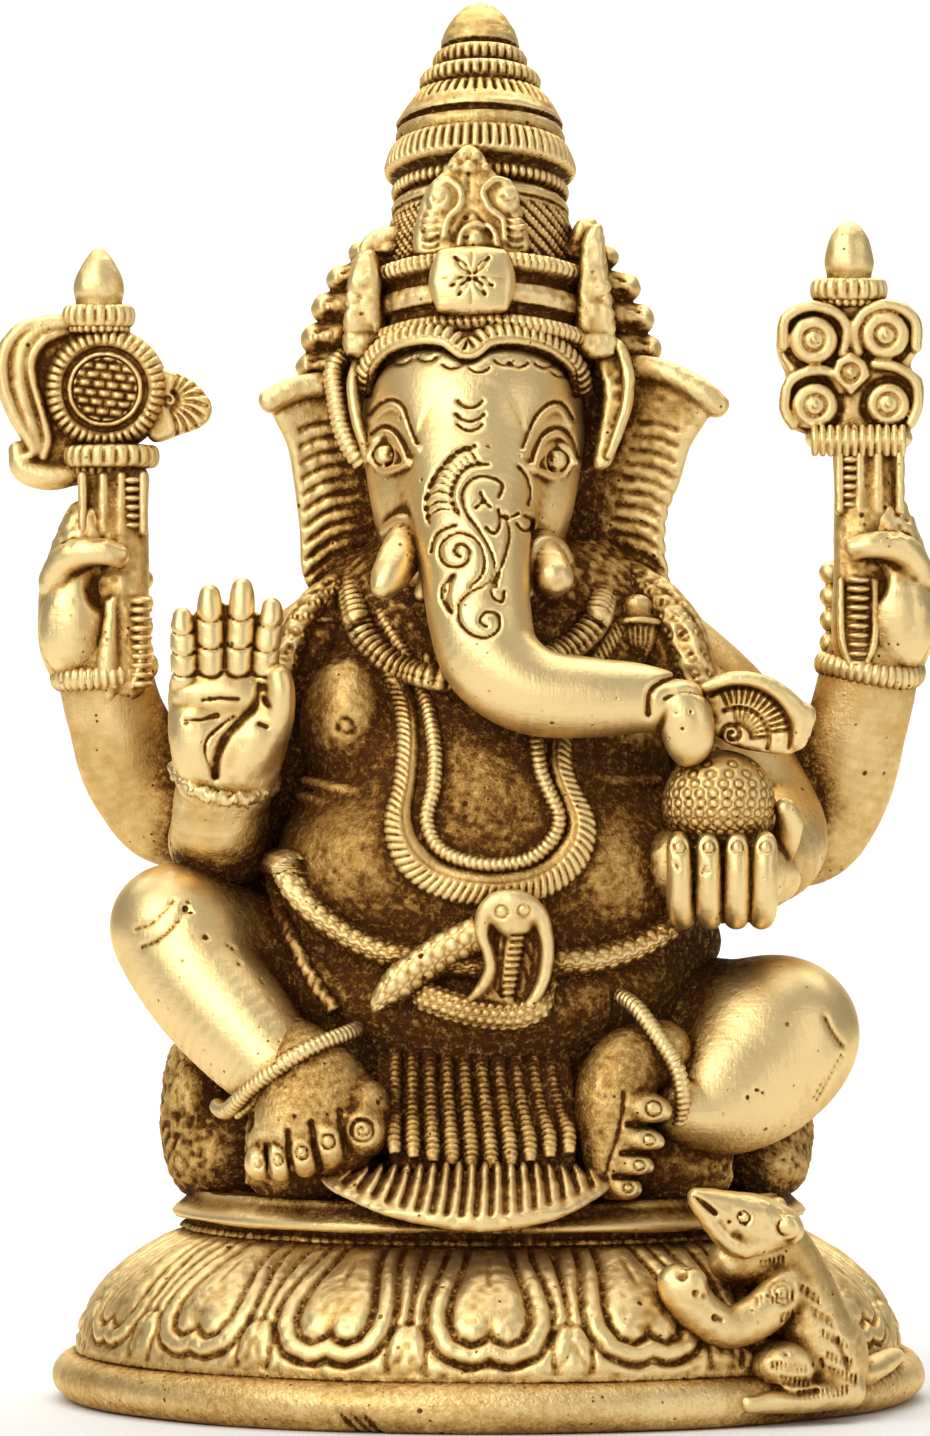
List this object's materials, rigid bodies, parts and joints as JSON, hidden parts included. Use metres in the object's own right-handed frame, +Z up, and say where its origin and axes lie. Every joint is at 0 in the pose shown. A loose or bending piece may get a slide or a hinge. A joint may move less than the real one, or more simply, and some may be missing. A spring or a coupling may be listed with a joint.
{
  "type": "ganesha idol",
  "caption": "Seated four-armed elephant-headed deity in cast brass, with tall tiered crown, on a hollow round lotus pedestal with a small mouse at its foot.",
  "frame": {"origin": "centre of the foot ring of the pedestal, on the surface it stands on", "axes": "+Z up along the height of the figure, -Y towards the viewer (the deity's face), -X the deity's own right side"},
  "size_m": [0.1352, 0.1268, 0.2034],
  "materials": {
    "polished_brass": "hand-rubbed cast brass, bright on the high spots",
    "antique_brass": "antique brass with brown patina in the grooves",
    "rough_cast_brass": "granular as-cast surface, dark patina"
  },
  "bodies": {
    "root": {"plinth_rim": "polished_brass", "lotus_bell": "rough_cast_brass", "lotus_petals": "antique_brass", "neck_collar": "rough_cast_brass", "seat_plate": "antique_brass", "cushion": "rough_cast_brass", "right_leg": "polished_brass", "right_foot": "polished_brass", "right_anklet": "antique_brass", "left_leg": "polished_brass", "left_foot": "polished_brass", "left_anklet": "antique_brass", "dhoti_hem": "polished_brass", "dhoti_pleats": "antique_brass", "torso": "antique_brass", "shawl": "rough_cast_brass", "necklace_band": "antique_brass", "pendants": "antique_brass", "rope_garland": "antique_brass", "bead_garland": "antique_brass", "snake_belt": "antique_brass", "snake_tail": "antique_brass", "cobra_hood": "antique_brass", "upper_right_arm": "antique_brass", "upper_right_hand": "polished_brass", "right_bangle": "antique_brass", "right_baton": "antique_brass", "disc_emblem": "polished_brass", "disc_finial": "polished_brass", "flame_scroll": "antique_brass", "emblem_leaf": "antique_brass", "upper_left_arm": "antique_brass", "upper_left_hand": "polished_brass", "left_bangle": "antique_brass", "left_baton": "antique_brass", "boss_emblem": "antique_brass", "boss_finial": "polished_brass", "lower_right_arm": "antique_brass", "open_palm": "polished_brass", "lower_left_arm": "antique_brass", "sweet_hand": "polished_brass", "sweet_ball": "antique_brass", "head": "polished_brass", "trunk": "polished_brass", "trunk_leaf": "antique_brass", "tusks": "polished_brass", "right_ear": "rough_cast_brass", "left_ear": "rough_cast_brass", "ear_straps": "antique_brass", "hair_curls": "rough_cast_brass", "headband": "polished_brass", "star_plaque": "antique_brass", "gable_plaque": "antique_brass", "crown_body": "antique_brass", "crown_rim": "antique_brass", "crown_top": "polished_brass", "mouse_body": "antique_brass", "mouse_head": "polished_brass"}
  },
  "joints": []
}
